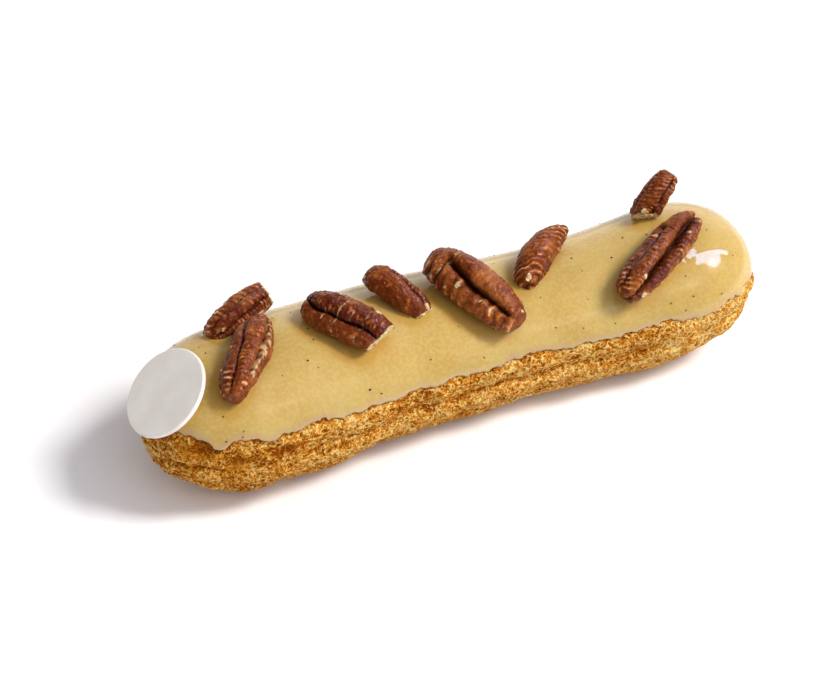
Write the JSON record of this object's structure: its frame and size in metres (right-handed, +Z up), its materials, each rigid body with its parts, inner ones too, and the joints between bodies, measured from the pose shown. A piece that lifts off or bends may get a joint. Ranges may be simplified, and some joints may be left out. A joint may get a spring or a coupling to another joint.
{
  "type": "glazed eclair with pecans",
  "caption": "Long piped choux bun with ridged golden sides, a glossy vanilla icing over its top, pecan pieces on the icing and a thin round of white chocolate on one end.",
  "frame": {"origin": "the middle of the flat underside that the eclair rests on", "axes": "+X along the eclair towards its slimmer end, away from the chocolate round; +Y towards its far long side; +Z up"},
  "size_m": [0.1502, 0.0388, 0.0391],
  "materials": {
    "choux": "baked golden crust, finely bubbled and matt",
    "icing": "smooth glossy caramel-cream icing",
    "pecan": "satin red-brown nut skin",
    "white_chocolate": "smooth satin white chocolate"
  },
  "bodies": {
    "root": {"choux_body": "choux", "icing": "icing", "pecan_1": "pecan", "pecan_2": "pecan", "pecan_3": "pecan", "pecan_4": "pecan", "pecan_5": "pecan", "pecan_6": "pecan", "pecan_7": "pecan", "pecan_8": "pecan", "chocolate_disc": "white_chocolate"}
  },
  "joints": []
}
